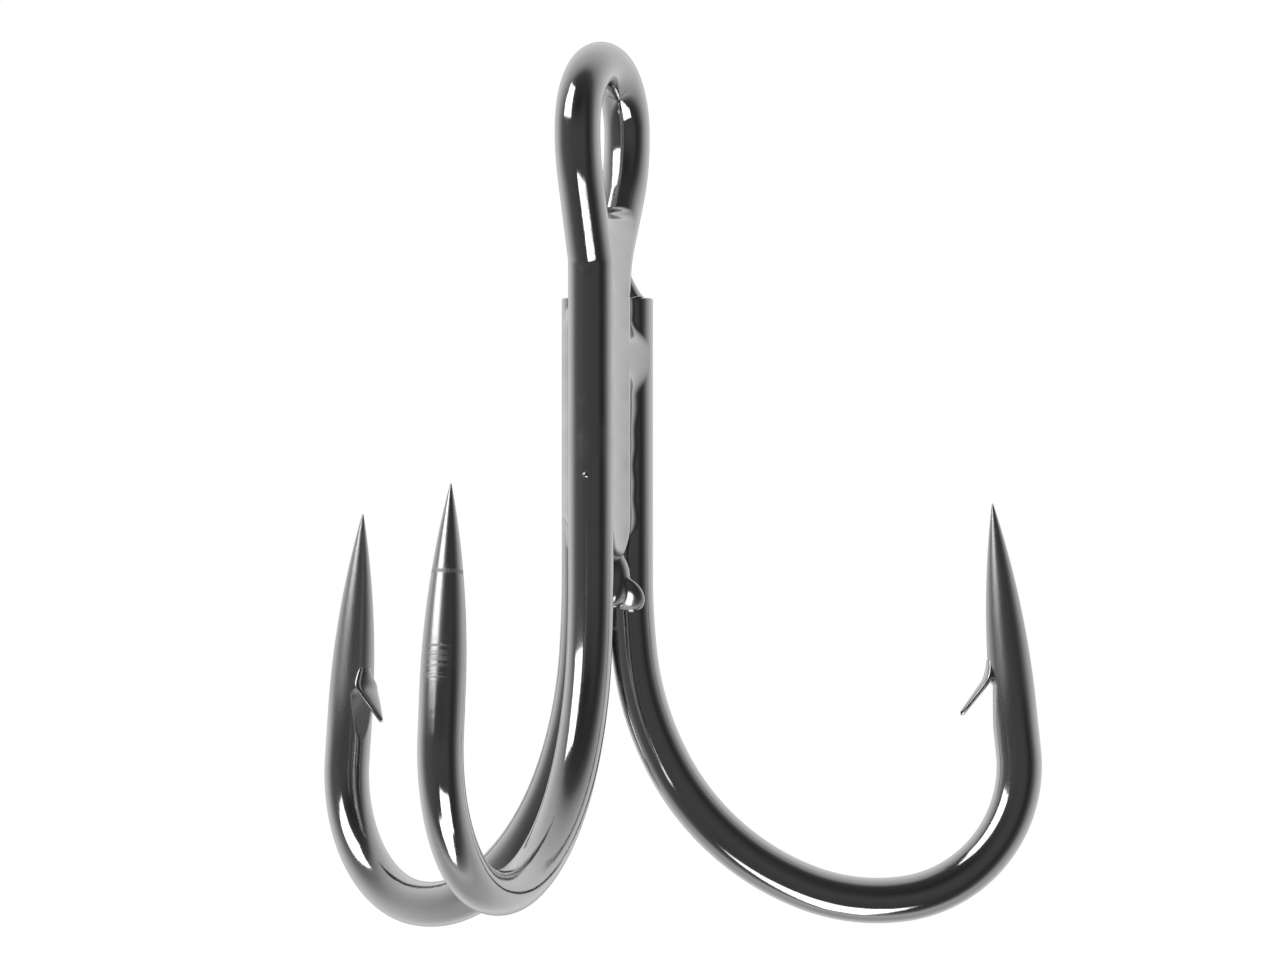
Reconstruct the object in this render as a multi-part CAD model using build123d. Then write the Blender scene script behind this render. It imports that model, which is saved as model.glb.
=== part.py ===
# Treble fishing hook: one wire with an eye and two plain hooks, brazed into one bundle.
# Millimetres, +Z up along the shanks. The origin is on the axis of the eye wire's return
# leg, in the plane on which the three bends stand.
import os
from math import cos, radians, sin, sqrt, tan

from build123d import *

# driving dimensions
wire_dia = 1.6              # plated wire, the same for all three hooks
overall_height = 31.0       # three bends' lowest points to the top of the eye
braze_gap = 0.02            # clearance left between wires that lie side by side

hook_directions = (-90.0, 28.5, 150.0)     # eye hook, right hook, left hook
plain_pair_turn = 113.2     # from the return leg to the middle of the two plain shanks
cut_below_neck = 0.4        # square cut ends of the plain shanks, below the eye's neck

# the bend, from the straight shank round to the straight spear
bend_radii = (26.0, 10.9, 9.3, 7.0, 4.75)
bend_sweeps = (6.0, 22.5, 41.0, 29.0, 87.5)
spear_length = 8.85         # end of the bend to the tip of the point
point_length = 7.2          # ground, bullet-curved part of the spear
point_tip_radius = 0.03

# the barb, a sliver cut from the inner face of the spear and lifted
barb_from_tip = 6.45         # root of the sliver, measured down from the tip
barb_length = 1.6
barb_depth = 0.24           # depth of the chisel cut at the root
barb_lift = 41.0

# the eye, a pear-shaped loop of the eye wire
eye_inner_width = 3.07
eye_front_swell = 1.27      # how far the front limb stands out from the shank
eye_front_slope = 19.0
eye_back_slope = 28.0
eye_side_straight = 0.2
eye_shoulder_radius = 4.5
eye_neck_radius = 3.0
return_leg_end = 12.27      # height of the tapered end of the return leg
return_taper_length = 1.85
return_taper_tip_radius = 0.2

# the braze metal
bead_inner = 0.2            # where a bead starts, out from the line of two wire centres
bead_dish = 0.05            # hollow of its face
side_bead_height = 0.5      # face of the beads along the plain shanks
side_bead_dish_radius = 0.35
front_bead_height = 0.72    # face of the beads between the eye hook's shank and its return leg
front_bead_dish_radius = 1.2
front_bead_rise = 1.15      # how far the front beads run above the cut ends
web_drop = 3.12             # top of the web at the foot of the eye, below the eye's middle
web_dish = 0.15             # sag of that top
web_dish_radius = 0.9
rear_bead_lift = 0.5        # the rear bead starts this far above the plug's foot
core_radius = 0.3
plug_drop = 1.17            # the plug hangs this far below the return leg's end
plug_height = 1.5
plug_dish = 0.35
plug_reach = 0.15           # how far the plug spreads past the return leg's outline
collar_height = 0.74
collar_reach = 0.45
collar_hollow = 0.07        # hollow of the collar's slope
collar_spread = 140.0       # degrees round the return leg

wire_rad = wire_dia / 2
pitch = wire_dia + braze_gap
plug_bottom = return_leg_end - plug_drop


class Trace:
    # a line of straights and tangent arcs in the XZ plane, drawn from a point and a heading
    def __init__(self, x, z, heading):
        self.x = x
        self.z = z
        self.heading = heading      # degrees, 0 is +X and 90 is up
        self.edges = []

    def go(self, length):
        start = Vector(self.x, 0, self.z)
        self.x += length * cos(radians(self.heading))
        self.z += length * sin(radians(self.heading))
        self.edges.append(Edge.make_line(start, Vector(self.x, 0, self.z)))

    def turn(self, radius, sweep):
        # a positive sweep turns to the left
        side = 1 if sweep > 0 else -1
        left = radians(self.heading + 90)
        middle_x = self.x + side * radius * cos(left)
        middle_z = self.z + side * radius * sin(left)
        points = [Vector(self.x, 0, self.z)]
        for share in (0.5, 1.0):
            out = radians(self.heading + share * sweep - 90 * side)
            points.append(Vector(middle_x + radius * cos(out), 0, middle_z + radius * sin(out)))
        self.edges.append(Edge.make_three_point_arc(*points))
        self.x = points[-1].X
        self.z = points[-1].Z
        self.heading += sweep


def wire_along(trace):
    path = Wire(trace.edges)
    section = Plane(origin=path @ 0, z_dir=path % 0) * Circle(wire_rad)
    return sweep(section, path=path)


def bend_drop():
    # height from the start of the bend down to its lowest point
    drop = 0
    heading = 0
    for radius, sweep_angle in zip(bend_radii, bend_sweeps):
        after = min(heading + sweep_angle, 90)
        drop += radius * (sin(radians(after)) - sin(radians(heading)))
        heading = after
    return drop


def limb(slope, swell):
    # straight length and whole height of one side of the eye
    radii = eye_neck_radius + eye_shoulder_radius
    straight = (swell - radii * (1 - cos(radians(slope)))) / sin(radians(slope))
    height = radii * sin(radians(slope)) + straight * cos(radians(slope))
    return straight, height


def trace_bend(trace):
    for radius, sweep_angle in zip(bend_radii, bend_sweeps):
        trace.turn(radius, sweep_angle)
    trace.go(spear_length - point_length)


def bullet(length, end_radius):
    # a solid that narrows on an arc tangent to the wire, from z = 0 up to z = length
    fall = wire_rad - end_radius
    curve = (fall ** 2 + length ** 2) / (2 * fall)
    half = length / 2
    half_x = wire_rad - curve + sqrt(curve ** 2 - half ** 2)
    arc = Edge.make_three_point_arc((wire_rad, 0, 0), (half_x, 0, half), (end_radius, 0, length))
    outline = Wire([
        Edge.make_line((0, 0, 0), (wire_rad, 0, 0)),
        arc,
        Edge.make_line((end_radius, 0, length), (0, 0, length)),
        Edge.make_line((0, 0, length), (0, 0, 0)),
    ])
    return revolve(Face(outline), axis=Axis.Z)


def chisel_cut(root, free_end):
    # the part of the round wire outside the chisel's plane, between two heights;
    # X points to the inner side of the hook and Z along the spear to its tip
    rod = Pos(0, 0, (root + free_end) / 2) * Cylinder(wire_rad, root - free_end)
    slope = barb_depth / barb_length
    high = wire_rad - slope * (root - free_end)
    far = 3 * wire_rad
    side = Polyline(
        (wire_rad, 0, free_end), (high, 0, root), (far, 0, root), (far, 0, free_end), close=True)
    wedge = extrude(make_face(side), amount=wire_dia, both=True)
    return rod & wedge


def finish_spear(wire, trace):
    # adds the point and the barb to a wire that ends where the point's curve starts
    start = Vector(trace.x, 0, trace.z)
    along = Vector(cos(radians(trace.heading)), 0, sin(radians(trace.heading)))
    inward = Vector(-along.Z, 0, along.X)
    tip = start + along * point_length
    base_frame = Plane(origin=start, x_dir=inward, z_dir=along)
    tip_frame = Plane(origin=tip, x_dir=inward, z_dir=along)
    wire = wire + base_frame * bullet(point_length, point_tip_radius)

    root = -barb_from_tip
    free_end = root - barb_length
    sliver = chisel_cut(root + 0.12, free_end)
    hinge = (wire_rad - barb_depth, 0, root)
    lifted = Pos(*hinge) * Rot(0, -barb_lift, 0) * Pos(-hinge[0], 0, -hinge[2]) * sliver
    wire = wire - tip_frame * chisel_cut(root, free_end)
    return wire + tip_frame * lifted


def plain_hook():
    start_z = wire_rad + bend_drop()
    trace = Trace(0, plain_shank_top, -90)
    trace.go(plain_shank_top - start_z)
    trace_bend(trace)
    return finish_spear(wire_along(trace), trace)


eye_radius = (eye_inner_width + wire_dia) / 2
eye_middle = overall_height - wire_rad - eye_radius
back_swell = 2 * eye_radius - pitch - eye_front_swell
back_straight, back_height = limb(eye_back_slope, back_swell)
front_straight, front_height = limb(eye_front_slope, eye_front_swell)
back_neck = eye_middle - eye_side_straight - back_height
front_neck = eye_middle - eye_side_straight - front_height
plain_shank_top = min(back_neck, front_neck) - cut_below_neck


def eye_hook():
    taper_top = return_leg_end + return_taper_length

    trace = Trace(-pitch, taper_top, 90)
    trace.go(back_neck - taper_top)
    trace.turn(eye_neck_radius, eye_back_slope)
    trace.go(back_straight)
    trace.turn(eye_shoulder_radius, -eye_back_slope)
    trace.go(eye_side_straight)
    trace.turn(eye_radius, -180)
    trace.go(eye_side_straight)
    trace.turn(eye_shoulder_radius, -eye_front_slope)
    trace.go(front_straight)
    trace.turn(eye_neck_radius, eye_front_slope)
    trace.go(front_neck - wire_rad - bend_drop())
    trace_bend(trace)
    wire = finish_spear(wire_along(trace), trace)
    taper = Plane(origin=(-pitch, 0, taper_top), x_dir=(1, 0, 0), z_dir=(0, 0, -1))
    return wire + taper * bullet(return_taper_length, return_taper_tip_radius)


def around_return_leg(angle):
    return Vector(pitch * cos(radians(angle)), pitch * sin(radians(angle)), 0)


def bead(first, second, side, bottom, top, face_height, dish_radius):
    # braze metal in the groove between two wires; side is 1 to the left of first to second
    along = (second - first).normalized()
    out = Vector(-along.Y * side, along.X * side, 0)
    frame = Plane(origin=(first + second) * 0.5, x_dir=along, z_dir=(0, 0, 1))
    height = top - bottom
    depth = face_height - bead_inner
    middle = side * (bead_inner + depth / 2)
    block = Pos(0, middle, bottom + height / 2) * Box(pitch, depth, height)
    dish_at = side * (face_height - bead_dish + dish_radius)
    dish = Pos(0, dish_at, bottom + height / 2) * Cylinder(dish_radius, height)
    return frame * (block - dish)


def core():
    # filler between the return leg and the plain shanks, the plug below the leg's tapered
    # end, and the collar above the cut ends
    middle = (right_shank + left_shank) * (1 / 3)
    column_height = plain_shank_top - plug_bottom
    column = Pos(middle.X, middle.Y, plug_bottom + column_height / 2)
    column = column * Cylinder(core_radius, column_height)
    column = column - Pos(0, 0, overall_height / 2) * Cylinder(wire_rad, overall_height)
    plug = Pos(0, 0, plug_bottom + plug_height / 2) * Cylinder(wire_rad + plug_reach, plug_height)
    ball_radius = ((wire_rad + plug_reach) ** 2 + plug_dish ** 2) / (2 * plug_dish)
    plug = plug - Pos(0, 0, plug_bottom + plug_dish - ball_radius) * Sphere(ball_radius)

    inner = wire_rad
    outer = wire_rad + collar_reach
    low = plain_shank_top
    high = plain_shank_top + collar_height
    hollow = ((inner + outer) / 2 - collar_hollow, 0, (low + high) / 2 - collar_hollow)
    outline = Wire([
        Edge.make_line((inner, 0, low), (outer, 0, low)),
        Edge.make_three_point_arc((outer, 0, low), hollow, (inner, 0, high)),
        Edge.make_line((inner, 0, high), (inner, 0, low)),
    ])
    face = Rot(0, 0, plain_pair_turn - collar_spread / 2) * Face(outline)
    collar = revolve(face, axis=Axis.Z, revolution_arc=collar_spread)
    return column + plug + collar


def eye_web():
    # fills the foot of the eye, between its two limbs
    front_kink = front_neck + eye_neck_radius * tan(radians(eye_front_slope / 2))
    back_kink = back_neck + eye_neck_radius * tan(radians(eye_back_slope / 2))
    foot = plain_shank_top + front_bead_rise + braze_gap
    top = eye_middle - web_drop
    front = -pitch - (top - front_kink) * tan(radians(eye_front_slope))
    back = (top - back_kink) * tan(radians(eye_back_slope))
    face = Face(Wire.make_polygon([(0, -pitch, foot), (0, front, top), (0, back, top), (0, 0, foot)]))
    web = extrude(face, front_bead_height, both=True)
    dish = Rot(0, 90, 0) * Cylinder(web_dish_radius, 2 * wire_dia)
    return web - Pos(0, (front + back) / 2, top - web_dish + web_dish_radius) * dish


right_shank = around_return_leg(plain_pair_turn - 30)
left_shank = around_return_leg(plain_pair_turn + 30)
eye_shank = Vector(0, -pitch, 0)
return_leg = Vector(0, 0, 0)

blank = plain_hook()
hooks = {
    "eye_hook": Pos(eye_shank) * Rot(0, 0, hook_directions[0]) * eye_hook(),
    "right_hook": Pos(right_shank) * Rot(0, 0, hook_directions[1]) * blank,
    "left_hook": Pos(left_shank) * Rot(0, 0, hook_directions[2]) * blank,
}

leg_bottom = return_leg_end + return_taper_length
side_face = (side_bead_height, side_bead_dish_radius)
front_face = (front_bead_height, front_bead_dish_radius)
plain_span = (leg_bottom, plain_shank_top)
rear_span = (plug_bottom + rear_bead_lift, plain_shank_top)
front_span = (leg_bottom, plain_shank_top + front_bead_rise)
braze = {
    "braze_core": core(),
    "braze_right_bead": bead(return_leg, right_shank, -1, *plain_span, *side_face),
    "braze_left_bead": bead(return_leg, left_shank, 1, *plain_span, *side_face),
    "braze_rear_bead": bead(right_shank, left_shank, -1, *rear_span, *side_face),
    "braze_front_right_bead": bead(eye_shank, return_leg, -1, *front_span, *front_face),
    "braze_front_left_bead": bead(eye_shank, return_leg, 1, *front_span, *front_face),
    "braze_eye_web": eye_web(),
}

os.makedirs("parts", exist_ok=True)
for name, hook in hooks.items():
    export_step(hook, f"parts/{name}.step")
for name, run in braze.items():
    for hook in hooks.values():
        run = run - hook
    export_step(run, f"parts/{name}.step")
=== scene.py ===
import math
import bmesh
import bpy
from mathutils import Matrix, Vector


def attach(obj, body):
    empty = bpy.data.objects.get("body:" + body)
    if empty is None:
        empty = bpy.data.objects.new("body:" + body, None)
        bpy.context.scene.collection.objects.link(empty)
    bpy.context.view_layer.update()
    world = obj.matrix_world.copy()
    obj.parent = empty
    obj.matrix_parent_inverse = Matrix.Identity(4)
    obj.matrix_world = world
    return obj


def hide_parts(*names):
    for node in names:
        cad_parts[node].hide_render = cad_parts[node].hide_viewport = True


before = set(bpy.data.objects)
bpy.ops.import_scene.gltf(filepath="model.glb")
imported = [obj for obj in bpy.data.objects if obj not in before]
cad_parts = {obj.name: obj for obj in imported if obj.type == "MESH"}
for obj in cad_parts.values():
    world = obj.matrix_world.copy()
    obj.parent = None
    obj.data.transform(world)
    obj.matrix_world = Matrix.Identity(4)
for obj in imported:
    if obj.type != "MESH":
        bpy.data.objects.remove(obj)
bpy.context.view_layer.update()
print("frame loaded")

mm = 0.001
sharpAngle = math.radians(55)

# plated wire, shared by the three hooks
wire = {
    "radius": 0.8,
    "gap": 0.02,            # between wires that lie side by side
    "sides": 96,
}
wire["pitch"] = 2 * wire["radius"] + wire["gap"]

# round bend, from the shank to the spear: radius and degrees
bend = {
    "arcs": ((26.0, 6.0), (10.9, 22.5), (9.3, 41.0), (7.0, 29.0), (4.75, 87.5)),
    "spear": 8.85,
    "point": 7.2,
    "tipRadius": 0.02,
    "step": 0.14,           # spacing of the rings along a bend
    "spearStep": 0.07,
    "shankStep": 0.5,
}

# the barb is a sliver raised from the inner face of the spear
barb = {
    "root": 6.45,           # down from the tip
    "cutLength": 1.6,
    "cutDepth": 0.2,
    "cutRise": 0.25,        # the cut runs out this far above the root
    "cutFade": 0.2,
    "spearRings": 260,      # rings counted back from the tip that the cut may reach
    "start": 5.5,           # where the sliver leaves the surface
    "length": 2.3,
    "curl": 0.42,           # share of the length in which it lifts
    "lift": 43.0,
    "width": 0.98,
    "thickness": 0.34,
    "sunk": 0.11,
    "steps": 26,
}

# pear-shaped eye in the plane of its own hook
eye = {
    "top": 31.0,
    "innerWidth": 3.07,
    "frontSwell": 1.27,
    "frontSlope": 19.0,
    "backSlope": 28.0,
    "sideStraight": 0.2,
    "shoulder": 4.5,
    "frontNeck": 1.2,
    "filmRun": 0.7,         # finely ringed below the front neck, where the film ends
    "filmStep": 0.04,
    "neckStep": 0.05,
    "backNeck": 3.0,
    "webTop": 24.95,        # braze metal fills the foot of the eye up to here
    "legEnd": 12.27,
    "legTaper": 1.85,
    "legTipRadius": 0.2,
}

# how the shanks stand round the return leg, and which way each hook points
bundle = {
    "pairTurn": 113.2,
    "eyeWay": -90.0,
    "rightWay": 28.5,
    "leftWay": 150.0,
    "cutBelowNeck": 0.4,
    "endRoll": 0.06,        # rolled edge of the cut ends
    "endInset": 0.1,
    "noMarks": 60,          # counts a part of the wire as far from the tip
}


def bendDrop():
    drop = 0
    heading = 0
    for radius, sweep in bend["arcs"]:
        after = min(heading + sweep, 90)
        drop += radius * (math.sin(math.radians(after)) - math.sin(math.radians(heading)))
        heading = after
    return drop


def limbSizes(slope, swell, neck):
    radii = neck + eye["shoulder"]
    angle = math.radians(slope)
    straight = (swell - radii * (1 - math.cos(angle))) / math.sin(angle)
    return straight, radii * math.sin(angle) + straight * math.cos(angle)


eyeRadius = eye["innerWidth"] / 2 + wire["radius"]
eyeMiddle = eye["top"] - wire["radius"] - eyeRadius
backSwell = 2 * eyeRadius - wire["pitch"] - eye["frontSwell"]
frontStraight, frontHeight = limbSizes(eye["frontSlope"], eye["frontSwell"], eye["frontNeck"])
backStraight, backHeight = limbSizes(eye["backSlope"], backSwell, eye["backNeck"])
frontNeck = eyeMiddle - eye["sideStraight"] - frontHeight
backNeck = eyeMiddle - eye["sideStraight"] - backHeight
shankTop = backNeck - bundle["cutBelowNeck"]
bendTop = wire["radius"] + bendDrop()


def grow(bm, ring):
    # extrudes a closed ring of vertices; the new ring comes back in the same order
    old = set(ring)
    edges = {edge for vert in ring for edge in vert.link_edges if edge.other_vert(vert) in old}
    made = bmesh.ops.extrude_edge_only(bm, edges=list(edges))["geom"]
    fresh = {item for item in made if isinstance(item, bmesh.types.BMVert)}
    return [next(other for other in (edge.other_vert(vert) for edge in vert.link_edges)
                 if other in fresh) for vert in ring]


def closeRing(bm, ring):
    old = set(ring)
    edges = {edge for vert in ring for edge in vert.link_edges if edge.other_vert(vert) in old}
    return bmesh.ops.contextual_create(bm, geom=list(edges))["faces"]


class WireRun:
    # a ring drawn along a line in the XZ plane; wireLie keeps where each vertex lies on the wire
    def __init__(self, x, z, heading, radius=None):
        self.bm = bmesh.new()
        self.lie = self.bm.verts.layers.float_vector.new("wireLie")
        self.radius = radius or wire["radius"]
        made = bmesh.ops.create_circle(self.bm, segments=wire["sides"], radius=self.radius)
        for vert in made["verts"]:
            vert[self.lie] = (vert.co.x / self.radius, vert.co.y / self.radius, 0)
        self.rings = [made["verts"]]
        self.heading = heading
        self.along = 0
        turn = Matrix.Rotation(math.radians(90 - heading), 4, "Y")
        self.bm.transform(Matrix.Translation((x, 0, z)) @ turn)
        self.middle = Vector((x, 0, z))

    def ahead(self):
        angle = math.radians(self.heading)
        return Vector((math.cos(angle), 0, math.sin(angle)))

    def newRing(self, length):
        verts = grow(self.bm, self.rings[-1])
        self.along += length
        for vert in verts:
            place = vert[self.lie]
            vert[self.lie] = (place[0], place[1], self.along)
        self.rings.append(verts)
        return verts

    def go(self, length, step=None):
        count = max(1, round(length / (step or bend["step"])))
        for _ in range(count):
            self.step(self.newRing(length / count), length / count)

    def step(self, verts, length, grown=1.0):
        # moves a ring ahead, and scales it about its middle
        move = self.ahead() * length
        for vert in verts:
            vert.co = self.middle + move + (vert.co - self.middle) * grown
        self.middle = self.middle + move

    def turn(self, radius, sweep, step=None):
        side = 1 if sweep > 0 else -1
        left = math.radians(self.heading + 90)
        centre = self.middle + Vector((math.cos(left), 0, math.sin(left))) * radius * side
        length = radius * math.radians(abs(sweep))
        count = max(4, round(length / (step or bend["step"])))
        spin = Matrix.Rotation(-math.radians(sweep / count), 3, "Y")
        for _ in range(count):
            for vert in self.newRing(length / count):
                vert.co = centre + spin @ (vert.co - centre)
            self.middle = centre + spin @ (self.middle - centre)
        self.heading += sweep

    def narrow(self, length, radiusAt, step=None):
        # goes on ahead while the ring shrinks to radiusAt(share of the length)
        count = max(2, round(length / (step or bend["step"])))
        for index in range(count):
            grown = radiusAt((index + 1) / count) / radiusAt(index / count)
            self.step(self.newRing(length / count), length / count, grown)

    def roundOff(self, edge, inward):
        # a cut end: rolled edge, then a flat face
        count = 5
        start = self.radius
        for index in range(count):
            angle = math.pi / 2 * (index + 1) / count
            before = start - edge * (1 - math.cos(angle - math.pi / 2 / count))
            after = start - edge * (1 - math.cos(angle))
            rise = edge * (math.sin(angle) - math.sin(angle - math.pi / 2 / count))
            self.step(self.newRing(edge / count), rise, after / before)
        self.close(inward)

    def close(self, inward=0.0):
        face = closeRing(self.bm, self.rings[-1])
        if inward:
            bmesh.ops.inset_individual(self.bm, faces=face, thickness=inward)

    def countFrom(self, end):
        # wireLie then counts back from the tip
        for vert in self.bm.verts:
            place = vert[self.lie]
            vert[self.lie] = (place[0], place[1], place[2] - end)

    def shutTip(self):
        bmesh.ops.pointmerge(self.bm, verts=self.rings[-1], merge_co=self.middle)


def runBend(run):
    for radius, sweep in bend["arcs"]:
        run.turn(radius, sweep)
    run.go(bend["spear"] - bend["point"], bend["spearStep"])


def ogive(length, endRadius):
    fall = wire["radius"] - endRadius
    curve = (fall * fall + length * length) / (2 * fall)
    return lambda share: wire["radius"] - curve + math.sqrt(curve ** 2 - (share * length) ** 2)


def runSpear(run):
    # ground point, then the chisel cut and the raised barb
    run.narrow(bend["point"], ogive(bend["point"], bend["tipRadius"]), bend["spearStep"])
    run.shutTip()
    tip = run.middle.copy()
    along = run.ahead()
    inward = Vector((-along.z, 0, along.x))
    low = -barb["root"] - barb["cutLength"]
    high = -barb["root"] + barb["cutRise"]
    for ring in run.rings[-barb["spearRings"]:]:
        for vert in ring:
            if not vert.is_valid:       # merged into the tip
                continue
            place = vert.co - tip
            height = place.dot(along)
            if low < height < high:
                share = min(1, (height - low) / barb["cutLength"])
                share *= min(1, (high - height) / barb["cutFade"])
                limit = wire["radius"] - barb["cutDepth"] * share
                over = place.dot(inward) - limit
                if 0 < over < 0.5:      # the shank lies further in than that
                    vert.co -= inward * over
    raiseBarb(run.bm, tip, along, inward, run.lie)


def raiseBarb(bm, tip, along, inward, lie):
    # a curled sliver with a lens section that ends in a sharp free tip
    ring = bmesh.ops.create_circle(bm, segments=24, radius=1)["verts"]
    side = along.cross(inward)
    middle = tip - along * barb["start"] + inward * (wire["radius"] - barb["sunk"])
    for vert in ring:
        vert[lie] = (vert.co.x, vert.co.y, 30)
        across, through = sliverSize(0)
        vert.co = middle + side * vert.co.x * across + inward * vert.co.y * through
    closeRing(bm, ring)
    steps = barb["steps"]
    heading = -along
    turned = 0
    for index in range(steps):
        share = (index + 1) / steps
        turn = barb["lift"] * min(1, share / barb["curl"]) ** 1.4
        spin = Matrix.Rotation(math.radians(turned - turn), 3, side)
        turned = turn
        across, through = (after / before for after, before in
                           zip(sliverSize(share), sliverSize(index / steps)))
        ring = grow(bm, ring)
        heading = spin @ heading
        middle = middle + heading * (barb["length"] / steps)
        flat = heading.cross(side)
        for vert in ring:
            vert.co += heading * (barb["length"] / steps)
        bmesh.ops.rotate(bm, verts=ring, cent=middle, matrix=spin)
        for vert in ring:
            off = vert.co - middle
            vert.co = middle + side * off.dot(side) * across + flat * off.dot(flat) * through
            vert[lie] = (vert[lie][0], vert[lie][1], 30 - barb["length"] * share)
    bmesh.ops.pointmerge(bm, verts=ring, merge_co=middle)


def sliverSize(share):
    # half width and half thickness
    width = min(1, 0.5 + share * 2) * max(0.03, 1 - max(0, share - 0.3) / 0.7) ** 0.75
    thickness = min(1, 0.6 + share * 2) * (1 - 0.5 * share)
    return barb["width"] / 2 * width, barb["thickness"] / 2 * thickness


def finishRun(run, name, place, way):
    run.countFrom(run.along)
    run.bm.transform(Matrix.Translation(place) @ Matrix.Rotation(math.radians(way), 4, "Z"))
    return keepPiece(run.bm, name)


def keepPiece(bm, name):
    bm.transform(Matrix.Scale(mm, 4))
    bmesh.ops.recalc_face_normals(bm, faces=bm.faces)
    for edge in bm.edges:
        if edge.is_manifold and edge.calc_face_angle() > sharpAngle:
            edge.smooth = False
    mesh = bpy.data.meshes.new(name)
    bm.to_mesh(mesh)
    bm.free()
    for face in mesh.polygons:
        face.use_smooth = True
    piece = bpy.data.objects.new(name, mesh)
    bpy.context.scene.collection.objects.link(piece)
    return piece


def aroundLeg(angle):
    angle = math.radians(angle)
    return Vector((math.cos(angle), math.sin(angle), 0)) * wire["pitch"]


rightShank = aroundLeg(bundle["pairTurn"] - 30)
leftShank = aroundLeg(bundle["pairTurn"] + 30)
eyeShank = Vector((0, -wire["pitch"], 0))


def joinRun(run, other):
    # merges a second stretch of the same wire, which starts from the same ring
    other.countFrom(bundle["noMarks"])
    mesh = bpy.data.meshes.new("stretch")
    other.bm.to_mesh(mesh)
    other.bm.free()
    run.bm.from_mesh(mesh)
    bmesh.ops.remove_doubles(run.bm, verts=run.bm.verts, dist=0.0005)


def makePlainHook(name, place, way):
    start = shankTop - bundle["endRoll"]
    cutEnd = WireRun(0, start, 90)
    cutEnd.roundOff(bundle["endRoll"], bundle["endInset"])
    run = WireRun(0, start, -90)
    run.go(start - bendTop, bend["shankStep"])
    runBend(run)
    runSpear(run)
    joinRun(run, cutEnd)
    return finishRun(run, name, place, way)


# braze metal wets the front of the eye hook's shank and ends in a slanted edge below the eye
film = {
    "edge": 22.95,
    "slant": -0.42,
    "thick": 0.007,
    "start": 12.0,
    "fadeIn": 3.0,
    "fadeOut": 0.13,
    "waveHeight": 0.03,
    "waveRate": 9.0,
}


def addFilm(bm):
    for vert in bm.verts:
        if vert.co.x < -wire["pitch"] / 2 or not film["start"] < vert.co.z < film["edge"] + 1:
            continue
        wave = film["waveHeight"] * math.sin(film["waveRate"] * vert.co.y)
        edge = film["edge"] + film["slant"] * vert.co.y + wave
        share = min(1, max(0, (edge - vert.co.z) / film["fadeOut"]))
        share *= min(1, (vert.co.z - film["start"]) / film["fadeIn"])
        off = Vector((vert.co.x, vert.co.y, 0))
        if share:
            vert.co += off.normalized() * film["thick"] * share


def makeEyeHook():
    taperTop = eye["legEnd"] + eye["legTaper"]
    leg = WireRun(-wire["pitch"], taperTop, -90)
    leg.narrow(eye["legTaper"], ogive(eye["legTaper"], eye["legTipRadius"]), eye["neckStep"])
    leg.close()
    run = WireRun(-wire["pitch"], taperTop, 90)
    run.go(backNeck - taperTop, bend["shankStep"])
    run.turn(eye["backNeck"], eye["backSlope"])
    run.go(backStraight)
    run.turn(eye["shoulder"], -eye["backSlope"])
    run.go(eye["sideStraight"])
    run.turn(eyeRadius, -180)
    run.go(eye["sideStraight"])
    run.turn(eye["shoulder"], -eye["frontSlope"])
    run.go(frontStraight)
    run.turn(eye["frontNeck"], eye["frontSlope"], eye["neckStep"])
    run.go(eye["filmRun"], eye["filmStep"])
    run.go(frontNeck - eye["filmRun"] - bendTop, bend["shankStep"])
    runBend(run)
    runSpear(run)
    joinRun(run, leg)
    addFilm(run.bm)
    return finishRun(run, "eyeHook", eyeShank, bundle["eyeWay"])


eyeHook = makeEyeHook()
rightHook = makePlainHook("rightHook", rightShank, bundle["rightWay"])
leftHook = makePlainHook("leftHook", leftShank, bundle["leftWay"])
for piece, node in ((eyeHook, "eye_hook"), (rightHook, "right_hook"), (leftHook, "left_hook")):
    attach(piece, "root")
    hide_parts(node)
print("hooks made")

# braze metal: heights in mm, and how full each groove is there (0.8 is level with the wires)
braze = {
    "frontFill": ((12.3, 0.72), (13.2, 0.76), (22.0, 0.77), (24.1, 0.77), (24.6, 0.7),
                  (24.85, 0.5), (25.0, 0.1)),
    "rightFill": ((12.3, 0.05), (13.0, 0.2), (14.0, 0.5), (15.1, 0.47), (17.6, 0.49),
                  (18.5, 0.55), (19.7, 0.775), (20.1, 0.775), (21.3, 0.45), (22.0, 0.45)),
    "leftFill": ((12.3, -0.6), (12.7, 0.0), (13.4, 0.45), (14.6, 0.68), (20.8, 0.72), (21.5, 0.6),
                 (21.9, 0.1)),
    "rearFill": ((11.4, 0.2), (12.5, 0.5), (21.0, 0.6), (22.0, 0.55)),
    "mostFill": 0.78,
    "ripple": 0.012,
    "tuck": 0.3,            # how far a bead's back reaches into the wires, in radii
}


def follow(stops, at):
    # value between stops, eased
    if at <= stops[0][0]:
        return stops[0][1]
    for (low, before), (high, after) in zip(stops, stops[1:]):
        if at < high:
            share = (at - low) / (high - low)
            share = share * share * (3 - 2 * share)
            return before + (after - before) * share
    return stops[-1][1]


def limbShift(height, start, radius, slope):
    # how far a limb of the eye has swung out at this height
    if height <= start:
        return 0
    angle = math.radians(slope)
    if height < start + radius * math.sin(angle):
        return radius - math.sqrt(radius ** 2 - (height - start) ** 2)
    above = height - start - radius * math.sin(angle)
    return radius * (1 - math.cos(angle)) + above * math.tan(angle)


def legRadius(height):
    down = (eye["legEnd"] + eye["legTaper"] - height) / eye["legTaper"]
    if down <= 0:
        return wire["radius"]
    return ogive(eye["legTaper"], eye["legTipRadius"])(min(1, down))


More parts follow.
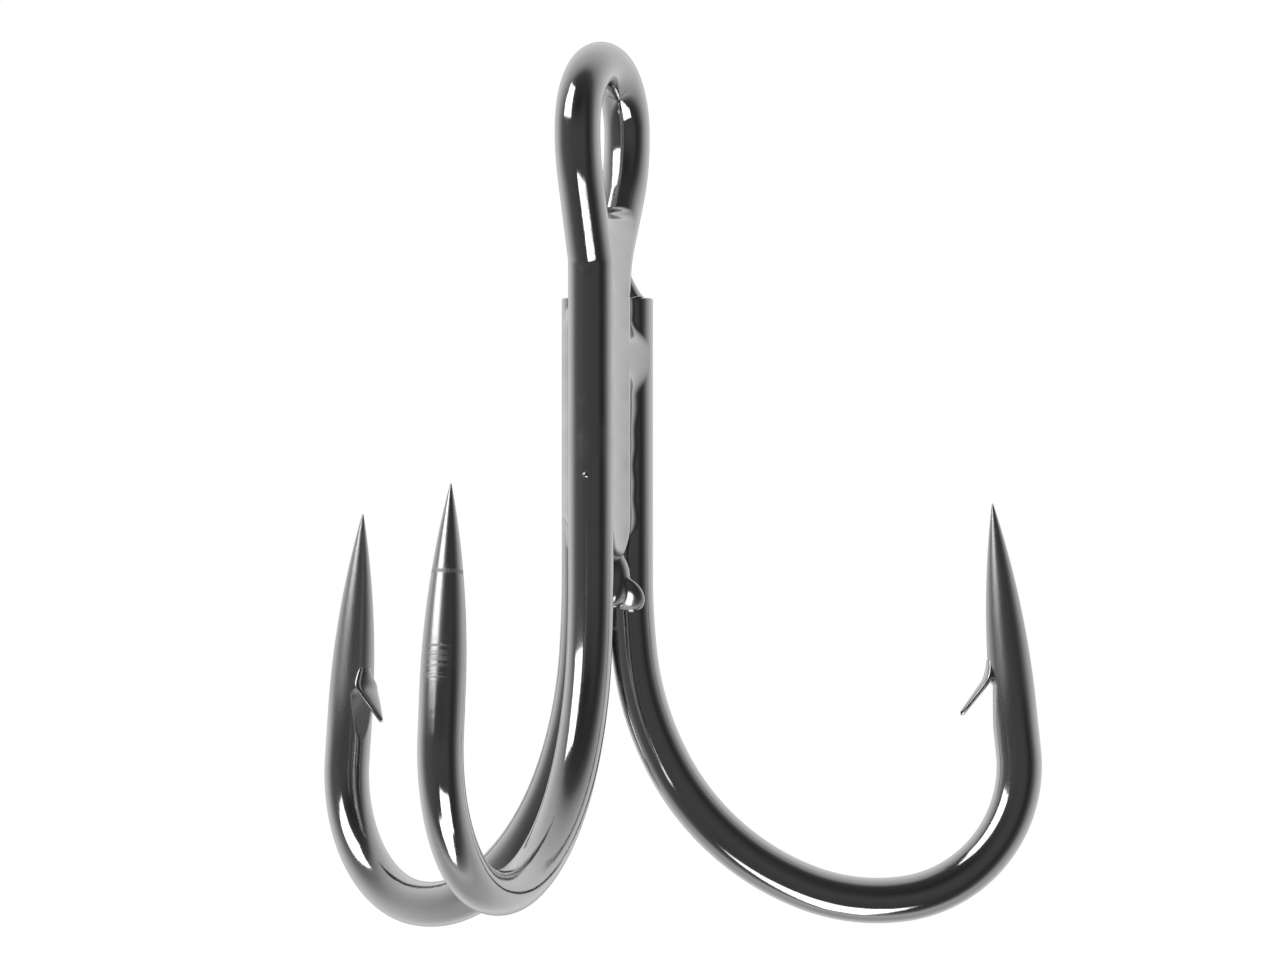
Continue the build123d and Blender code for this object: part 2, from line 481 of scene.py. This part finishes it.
def shankAt(name, height):
    # middle and radius of one of the four wires of the bundle
    if name == "leg":
        shift = limbShift(height, backNeck, eye["backNeck"], eye["backSlope"])
        return Vector((0, shift, 0)), legRadius(height)
    if name == "eye":
        shift = limbShift(height, frontNeck, eye["frontNeck"], eye["frontSlope"])
        return eyeShank - Vector((0, shift, 0)), wire["radius"]
    return (rightShank if name == "right" else leftShank), wire["radius"]


def fillFace(first, second, out, rise, count=24):
    # hollow face of the metal between two round wires, from the second to the first
    (start, startRadius), (end, endRadius) = first, second
    full = wire["radius"]
    apart = (end - start).length
    hollow = (apart ** 2 / 4 + rise ** 2 - full ** 2) / (2 * (full - rise))
    along = (end - start).normalized()
    across = ((startRadius + hollow) ** 2 - (endRadius + hollow) ** 2) / (2 * apart)
    up = math.sqrt(max(0, (startRadius + hollow) ** 2 - (across + apart / 2) ** 2))
    centre = (start + end) / 2 + along * across + out * up
    fromAngle = math.atan2(apart / 2 - across, up)
    toAngle = -math.atan2(apart / 2 + across, up)
    points = []
    for index in range(count + 1):
        angle = fromAngle + (toAngle - fromAngle) * index / count
        points.append(centre + (along * math.sin(angle) - out * math.cos(angle)) * hollow)
    return points


def loft(name, sections):
    # carries a closed outline through a row of sections
    bm = bmesh.new()
    ring = bmesh.ops.create_circle(bm, segments=len(sections[0]), radius=1)["verts"]
    for number, points in enumerate(sections):
        if number:
            ring = grow(bm, ring)
        for vert, point in zip(ring, points):
            vert.co = point
        if number in (0, len(sections) - 1):
            closeRing(bm, ring)
    return keepPiece(bm, name)


def groove(name, first, second, side, stops, top, step=0.08):
    # braze metal along one side of the groove between two wires
    bottom = stops[0][0]
    count = round((top - bottom) / step)
    sections = []
    for index in range(count + 1):
        height = bottom + (top - bottom) * index / count
        one, other = shankAt(first, height), shankAt(second, height)
        along = (other[0] - one[0]).normalized()
        out = Vector((-along.y, along.x, 0)) * side
        wave = math.sin(height * 2.3 + side) + math.sin(height * 5.1 + 2 * side)
        rise = min(braze["mostFill"], follow(stops, height) + braze["ripple"] * wave)
        points = fillFace(one, other, out, rise)
        tuck = braze["tuck"]
        inner = [one[0] + along * one[1] * tuck, other[0] - along * other[1] * tuck]
        points += [point - out * tuck * legRadius(height) for point in inner]
        sections.append([point + Vector((0, 0, height)) for point in points])
    return loft(name, sections)


# the web closes the foot of the eye between its limbs, both faces level with the wire
web = {
    "foot": 0.35,           # above the front neck
    "lean": 0.35,           # its top rises by this much towards the back limb
    "steps": 44,
    "crowding": 1.6,        # the sections stand closer together towards the top
}


def makeWeb():
    bottom = frontNeck + web["foot"]
    sections = []
    for index in range(web["steps"] + 1):
        share = index / web["steps"]
        height = bottom + (eye["webTop"] - bottom) * (1 - (1 - share) ** web["crowding"])
        one, other = shankAt("eye", height), shankAt("leg", height)
        rise = min(braze["mostFill"], follow(braze["frontFill"], height))
        points = fillFace(one, other, Vector((1, 0, 0)), rise)
        points += fillFace(one, other, Vector((-1, 0, 0)), rise)[::-1]
        reach = other[0].y - one[0].y
        lean = web["lean"] * share ** 3
        sections.append([point + Vector((0, 0, height + lean * (point.y - one[0].y) / reach))
                         for point in points])
    return loft("brazeEyeWeb", sections)


# collar over the cut ends, round the return leg
collar = {
    "height": 0.95,
    "reach": 0.6,
    "spread": 178,
    "hollow": 1.35,         # 1 is a straight slope
    "wave": 0.06,
    "waveRate": 7,
    "endFade": 3.5,
    "outline": 14,
    "steps": 56,
}


def addCollar(bm):
    outline = collar["outline"]
    ring = bmesh.ops.create_circle(bm, segments=outline + 3, radius=1)["verts"]
    for index in range(collar["steps"] + 1):
        share = index / collar["steps"]
        angle = math.radians(bundle["pairTurn"] + collar["spread"] * (share - 0.5))
        out = Vector((math.cos(angle), math.sin(angle), 0))
        full = max(0.02, min(1, collar["endFade"] * math.sin(math.pi * share))) ** 0.5
        full *= 1 + collar["wave"] * math.sin(collar["waveRate"] * angle)
        if index:
            ring = grow(bm, ring)
        for number, vert in enumerate(ring):
            if number <= outline:
                climb = number / outline
                reach = collar["reach"] * full * (1 - climb)
                rise = collar["height"] * full * climb ** collar["hollow"]
                vert.co = out * (wire["radius"] - 0.02 + reach) + Vector((0, 0, shankTop + rise))
            else:
                low = number == outline + 2
                vert.co = out * (wire["radius"] - 0.3) + Vector((0, 0, shankTop - 0.2 * low))
        if index in (0, collar["steps"]):
            closeRing(bm, ring)


# rounded lumps of braze: place, half sizes, then bearing, dip and roll of the flattest side
plug = {
    "body": (0.02, 0.1, 12.1),
    "bodySize": (0.62, 0.75, 1.1),
    "drop": (0.532, 0.267, 11.55),
    "dropSize": (0.6, 0.85, 0.25),
    "dropWay": (-68, 33, 40),
    "speck": (0.127, -2.41, 15.65),
    "speckSize": (0.13, 0.1, 0.06),
    "speckWay": (-75, 0, 0),
    "post": (0, 0, 14.2),   # fills the middle of the bundle
    "postSize": (0.72, 0.72, 2.0),
    "stub": (10.3, 13.4),   # lowest and highest point of the stubs
    "thin": 0.035,          # how much thinner than the wires the stubs are
    "grain": 0.045,         # size of a voxel
    "soften": 14,
}


def addPlug(bm):
    # lumps and slightly thin stubs of three of the wires (the eye, right and left shanks), melted
    # together so that their corners fill
    lump = bmesh.new()
    addDrop(lump, plug["body"], plug["bodySize"])
    addDrop(lump, plug["drop"], plug["dropSize"], *plug["dropWay"])
    low, high = plug["stub"]
    for name in ("eye", "right", "left"):
        place, radius = shankAt(name, low)
        thin = radius - plug["thin"]
        made = bmesh.ops.create_cone(lump, cap_ends=True, segments=48, radius1=thin, radius2=thin,
                                     depth=high - low)["verts"]
        bmesh.ops.translate(lump, verts=made, vec=place + Vector((0, 0, (high + low) / 2)))
    addDrop(lump, plug["post"], plug["postSize"])
    mesh = bpy.data.meshes.new("lump")
    lump.to_mesh(mesh)
    lump.free()
    holder = bpy.data.objects.new("lump", mesh)
    bpy.context.scene.collection.objects.link(holder)
    melt = holder.modifiers.new("melt", "REMESH")
    melt.mode = "VOXEL"
    melt.voxel_size = plug["grain"]
    soften = holder.modifiers.new("soften", "SMOOTH")
    soften.factor = 0.5
    soften.iterations = plug["soften"]
    ready = holder.evaluated_get(bpy.context.evaluated_depsgraph_get())
    bm.from_mesh(ready.to_mesh())
    ready.to_mesh_clear()
    bpy.data.objects.remove(holder)


def addDrop(bm, place, size, bearing=0, dip=-90, roll=0):
    verts = bmesh.ops.create_uvsphere(bm, u_segments=48, v_segments=24, radius=1)["verts"]
    bearing, dip, roll = (math.radians(angle) for angle in (bearing, dip, roll))
    out = Vector((math.cos(bearing) * math.cos(dip), math.sin(bearing) * math.cos(dip),
                  -math.sin(dip)))
    level = Vector((-math.sin(bearing), math.cos(bearing), 0))
    steep = out.cross(level)
    wide = level * math.cos(roll) + steep * math.sin(roll)
    tall = steep * math.cos(roll) - level * math.sin(roll)
    for vert in verts:
        local = vert.co
        off = wide * local.x * size[0] + tall * local.y * size[1]
        vert.co = Vector(place) + off + out * local.z * size[2]


def makeCore():
    # collar, a speck on the shank, and the plug with its drop under the return leg
    bm = bmesh.new()
    addCollar(bm)
    addDrop(bm, plug["speck"], plug["speckSize"], *plug["speckWay"])
    addPlug(bm)
    return keepPiece(bm, "brazeCore")


frontTop = frontNeck + 0.4
brazePieces = (
    (makeCore(), "braze_core"),
    (groove("brazeRight", "leg", "right", -1, braze["rightFill"], shankTop), "braze_right_bead"),
    (groove("brazeLeft", "eye", "left", 1, braze["leftFill"], braze["leftFill"][-1][0]),
     "braze_left_bead"),
    (groove("brazeRear", "right", "left", -1, braze["rearFill"], shankTop), "braze_rear_bead"),
    (groove("brazeFrontRight", "eye", "leg", -1, braze["frontFill"], frontTop),
     "braze_front_right_bead"),
    (groove("brazeFrontLeft", "eye", "leg", 1, braze["frontFill"], frontTop),
     "braze_front_left_bead"),
    (makeWeb(), "braze_eye_web"),
)
for piece, node in brazePieces:
    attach(piece, "root")
    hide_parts(node)
print("braze made")


class Value:
    # wraps a socket so that sums on it add Math nodes
    def __init__(self, shade, socket):
        self.shade = shade
        self.socket = socket

    def join(self, operation, other, swap=False):
        pair = [other, self] if swap else [self, other]
        return self.shade.node("ShaderNodeMath", {"operation": operation}, pair)

    def __add__(self, other):
        return self.join("ADD", other)

    def __radd__(self, other):
        return self.join("ADD", other, True)

    def __sub__(self, other):
        return self.join("SUBTRACT", other)

    def __rsub__(self, other):
        return self.join("SUBTRACT", other, True)

    def __mul__(self, other):
        return self.join("MULTIPLY", other)

    def __rmul__(self, other):
        return self.join("MULTIPLY", other, True)


class Shade:
    def __init__(self, owner):
        owner.use_nodes = True
        self.tree = owner.node_tree
        self.tree.nodes.clear()

    def node(self, kind, settings=None, inputs=None, output=0):
        made = self.tree.nodes.new(kind)
        for name, setting in (settings or {}).items():
            if name == "stops":
                self.setStops(made.color_ramp, setting)
            else:
                setattr(made, name, setting)
        pairs = enumerate(inputs) if isinstance(inputs, list) else (inputs or {}).items()
        for key, given in pairs:
            if isinstance(given, Value):
                self.tree.links.new(given.socket, made.inputs[key])
            else:
                made.inputs[key].default_value = given
        return Value(self, made.outputs[output])

    def setStops(self, ramp, stops):
        while len(ramp.elements) < len(stops):
            ramp.elements.new(0.5)
        for element, (place, bright) in zip(ramp.elements, stops):
            element.position = place
            element.color = (bright, bright, bright, 1)

    def finish(self, shader, owner="Material"):
        out = self.tree.nodes.new("ShaderNodeOutput" + owner)
        self.tree.links.new(shader.socket, out.inputs["Surface"])


plating = {
    "dark": (0.40, 0.40, 0.405, 1),
    "bright": (0.47, 0.47, 0.475, 1),
    "roughness": 0.09,
    "scratch": 0.02,
    "clouds": 420.0,        # noise scales
    "grain": 3200.0,
    "ground": 7.4,          # the ground point reaches this far down from the tip, in mm
    "eyeGround": 0.18,      # how much duller the ground points are
    "sideGround": 0.24,
    "ticks": 0.3,
    "tickSpan": (-6.9, -5.6),
    "stopLine": (-3.2, -3.06),
    "smearSpan": (16.3, 18.3),
    "brazeSofter": 0.05,
}


def makePlating(name, rough, groundRough=0.0, ticks=0.0):
    # dark nickel over drawn wire: faint draw lines, cloudy gloss, duller ground point
    material = bpy.data.materials.new(name)
    shade = Shade(material)
    lie = shade.node("ShaderNodeAttribute", {"attribute_name": "wireLie"}, output="Vector")
    place = shade.node("ShaderNodeTexCoord", output="Object")
    stretched = shade.node("ShaderNodeVectorMath", {"operation": "MULTIPLY"}, [lie, (7, 7, 0.35)])
    lines = shade.node("ShaderNodeTexNoise", inputs={
        "Vector": stretched, "Scale": 1.0, "Detail": 4.0, "Roughness": 0.6})
    rings = shade.node("ShaderNodeVectorMath", {"operation": "MULTIPLY"}, [lie, (0.6, 0.6, 22)])
    rings = shade.node("ShaderNodeTexNoise", inputs={"Vector": rings, "Scale": 1.0, "Detail": 3.0})
    cloud = shade.node("ShaderNodeTexNoise", inputs={
        "Vector": place, "Scale": plating["clouds"], "Detail": 3.0})
    fine = shade.node("ShaderNodeTexNoise", inputs={
        "Vector": place, "Scale": plating["grain"], "Detail": 2.0})
    tone = shade.node("ShaderNodeMix", {"data_type": "RGBA"}, {
        "Factor": cloud, "A": plating["dark"], "B": plating["bright"]}, output="Result")
    outer = shade.node("ShaderNodeSeparateXYZ", inputs=[lie], output="X")
    back = shade.node("ShaderNodeSeparateXYZ", inputs=[lie], output="Z")

    def between(value, low, high, edge):
        rise = shade.node("ShaderNodeMapRange", {"interpolation_type": "SMOOTHSTEP"}, {
            "Value": value, "From Min": low - edge, "From Max": low + edge})
        fall = shade.node("ShaderNodeMapRange", {"interpolation_type": "SMOOTHSTEP"}, {
            "Value": value, "From Min": high - edge, "From Max": high + edge,
            "To Min": 1.0, "To Max": 0.0})
        return rise * fall

    ground = between(back, -plating["ground"], 1, 1.6)
    # ticks that the barbing tool left on the outer face, and the line of a grinding stop
    spots = shade.node("ShaderNodeVectorMath", {"operation": "MULTIPLY"}, [lie, (0.25, 0.25, 11)])
    spots = shade.node("ShaderNodeTexNoise", inputs={"Vector": spots, "Scale": 1.0, "Detail": 0.0})
    mark = between(spots, 0.56, 2, 0.12) * between(back, *plating["tickSpan"], 0.2)
    mark = mark * between(outer, 0.8, 2, 0.15)
    mark = (mark + between(back, *plating["stopLine"], 0.05)) * ticks
    # smears of flux half way down the eye shank
    level = shade.node("ShaderNodeSeparateXYZ", inputs=[place], output="Z") * (1 / mm)
    smear = between(level, *plating["smearSpan"], 0.4) * between(cloud, 0.5, 2, 0.08) * ticks * 0.5
    gloss = cloud * 0.08 + lines * 0.05 + ground * groundRough + mark + smear + (rough - 0.05)
    height = lines * 0.6 + fine * 0.4 + rings * ground * groundRough * 4 + mark
    bump = shade.node("ShaderNodeBump", inputs={"Strength": plating["scratch"] + rough * 0.2,
                                                "Distance": 0.0001, "Height": height})
    metal = shade.node("ShaderNodeBsdfPrincipled", inputs={
        "Base Color": tone, "Metallic": 1.0, "Roughness": gloss, "Normal": bump})
    shade.finish(metal)
    return material


wireGloss = plating["roughness"]
eyeHook.data.materials.append(
    makePlating("eyeWirePlating", wireGloss, plating["eyeGround"], plating["ticks"]))
rightHook.data.materials.append(makePlating("rightWirePlating", wireGloss, plating["sideGround"]))
leftHook.data.materials.append(makePlating("leftWirePlating", wireGloss, plating["sideGround"]))
brazePlating = makePlating("brazePlating", wireGloss + plating["brazeSofter"])
for piece, node in brazePieces:
    piece.data.materials.append(brazePlating)
print("plating done")

studio = {
    "azimuth": 21.86,
    "elevation": -2.55,
    "distance": 672.0,
    "fieldWidth": 45.11,
    "middle": (0, 0, 15.5),
    "across": 1.12,         # the view's middle lies this far right of the hook
    "rise": 0.065,
    "floorHeight": -60.0,
    "floorSize": 1500,
    "tentSize": 2000,
}

azimuth = math.radians(studio["azimuth"])
elevation = math.radians(studio["elevation"])
right = Vector((math.cos(azimuth), math.sin(azimuth), 0))
back = Vector((math.sin(azimuth) * math.cos(elevation), -math.cos(azimuth) * math.cos(elevation),
               math.sin(elevation)))
upward = back.cross(right)
outward = Vector((back.x, back.y, 0)).normalized()


def makeCamera():
    lens = bpy.data.cameras.new("camera")
    lens.sensor_width = 36
    lens.lens = 36 * studio["distance"] / studio["fieldWidth"]
    lens.clip_end = 20
    camera = bpy.data.objects.new("camera", lens)
    bpy.context.scene.collection.objects.link(camera)
    place = Vector(studio["middle"]) + back * studio["distance"]
    place += right * studio["across"] + upward * studio["rise"]
    turn = Matrix((right, upward, back)).transposed().to_4x4()
    camera.matrix_world = Matrix.Translation(place * mm) @ turn
    bpy.context.scene.camera = camera


def makeFloor():
    bm = bmesh.new()
    bmesh.ops.create_grid(bm, x_segments=1, y_segments=1, size=studio["floorSize"])
    bmesh.ops.translate(bm, verts=bm.verts, vec=(0, 0, studio["floorHeight"]))
    floor = keepPiece(bm, "floor")
    material = bpy.data.materials.new("paleFloor")
    shade = Shade(material)
    shade.finish(shade.node("ShaderNodeBsdfPrincipled", inputs={
        "Base Color": (0.9, 0.9, 0.9, 1), "Roughness": 0.9}))
    floor.data.materials.append(material)
    floor.visible_glossy = False


# what the plating reflects: brightness by degrees away from the camera, on four sides
tent = {
    "right": ((0, 0.11), (35, 0.10), (50, 0.05), (62, 0.05), (77, 0.15), (90, 0.38), (106, 0.67),
              (126, 0.9), (150, 1.0), (180, 0.25)),
    "left": ((0, 0.11), (30, 0.11), (50, 0.13), (77, 0.165), (90, 0.28), (104, 0.6), (118, 0.85),
             (130, 1.0), (152, 1.0), (180, 0.25)),
    "up": ((0, 0.11), (30, 0.04), (63, 0.066), (75, 0.11), (84, 0.4), (95, 0.65), (110, 0.8),
           (125, 1.0), (152, 1.0), (180, 0.25)),
    "down": ((0, 0.11), (30, 0.09), (60, 0.07), (73, 0.08), (84, 0.35), (92, 0.8), (103, 0.6),
             (121, 0.6), (150, 1.0), (180, 0.25)),
    # soft boxes: middle and half width across, middle and half height, edge, brightness
    "sideBox": (-55, 20, 33.8, 19.2, 0.8, 3.4),
    "lowBox": (-6, 36, -64, 17, 3, 4.0),
}


def makeTent():
    # a tent round the hook that only reflections see
    bm = bmesh.new()
    bmesh.ops.create_uvsphere(bm, u_segments=64, v_segments=32, radius=studio["tentSize"])
    cloth = keepPiece(bm, "tent")
    material = bpy.data.materials.new("tentCloth")
    shade = Shade(material)
    place = shade.node("ShaderNodeTexCoord", output="Object")
    way = shade.node("ShaderNodeVectorMath", {"operation": "NORMALIZE"}, [place])

    def part(axis):
        return shade.node("ShaderNodeVectorMath", {"operation": "DOT_PRODUCT"},
                          {0: way, 1: tuple(axis)}, output="Value")

    def angle(value):
        return value * (180 / math.pi)

    front, across, rise = part(outward), part(right), part((0, 0, 1))
    away = angle(shade.node("ShaderNodeMath", {"operation": "ARCCOSINE"}, [front])) * (1 / 180)
    sides = {"right": across, "left": across * -1, "up": rise, "down": rise * -1}
    glow = None
    for name, value in sides.items():
        some = shade.node("ShaderNodeMath", {"operation": "MAXIMUM"}, [value, 0.0])
        stops = [(degrees / 180, bright * 0.5) for degrees, bright in tent[name]]
        ramp = shade.node("ShaderNodeValToRGB", {"stops": stops}, {"Fac": away}, output="Color")
        share = some * some * 2 * ramp
        glow = share if glow is None else glow + share
    whole = across * across + rise * rise + 0.0001
    glow = shade.node("ShaderNodeMath", {"operation": "DIVIDE"}, [glow, whole])
    bearing = angle(shade.node("ShaderNodeMath", {"operation": "ARCTAN2"}, [across, front]))
    height = angle(shade.node("ShaderNodeMath", {"operation": "ARCSINE"}, [rise]))

    def within(value, middle, half, edge):
        off = shade.node("ShaderNodeMath", {"operation": "ABSOLUTE"}, [value - middle])
        return shade.node("ShaderNodeMapRange", {"interpolation_type": "SMOOTHSTEP"}, {
            "Value": off, "From Min": half - edge, "From Max": half + edge,
            "To Min": 1.0, "To Max": 0.0})

    for name in ("sideBox", "lowBox"):
        middle, half, level, tall, edge, bright = tent[name]
        box = within(bearing, middle, half, edge) * within(height, level, tall, edge)
        glow = glow + box * bright
    shade.finish(shade.node("ShaderNodeEmission", inputs={"Color": glow, "Strength": 1.0}))
    cloth.data.materials.append(material)
    cloth.visible_camera = False
    cloth.visible_diffuse = False
    cloth.visible_shadow = False


# oblong soft lights that look at the hook: degrees across from the camera and up, distance,
# width, length, power
lamps = {
    "eyeLight": (10, -39, 300, 210, 128, 0.3),
    "topLight": (0, 90, 900, 900, 900, 9.0),
}


def makeLamp(name):
    across, height, distance, width, length, power = lamps[name]
    lamp = bpy.data.lights.new(name, "AREA")
    lamp.shape = "RECTANGLE"
    lamp.size = width * mm
    lamp.size_y = length * mm
    lamp.energy = power
    light = bpy.data.objects.new(name, lamp)
    bpy.context.scene.collection.objects.link(light)
    side = math.radians(across)
    tilt = math.radians(height)
    way = (outward * math.cos(side) + right * math.sin(side)) * math.cos(tilt)
    way += Vector((0, 0, 1)) * math.sin(tilt)
    place = Vector(studio["middle"]) + way * distance
    turn = way.to_track_quat("Z", "Y").to_matrix().to_4x4()
    light.matrix_world = Matrix.Translation(place * mm) @ turn
    light.visible_camera = False
    return light


makeCamera()
makeFloor()
makeTent()
eyeLight = makeLamp("eyeLight")
onlyEye = bpy.data.collections.new("onlyEye")
onlyEye.objects.link(eyeHook)
eyeLight.light_linking.receiver_collection = onlyEye
topLight = makeLamp("topLight")
topLight.visible_glossy = False

world = bpy.data.worlds.new("world")
bpy.context.scene.world = world
sky = Shade(world)
sky.finish(sky.node("ShaderNodeBackground", inputs={
    "Color": (1, 1, 1, 1), "Strength": 1.0}), "World")
bpy.context.scene.view_settings.view_transform = "Standard"
print("studio ready")
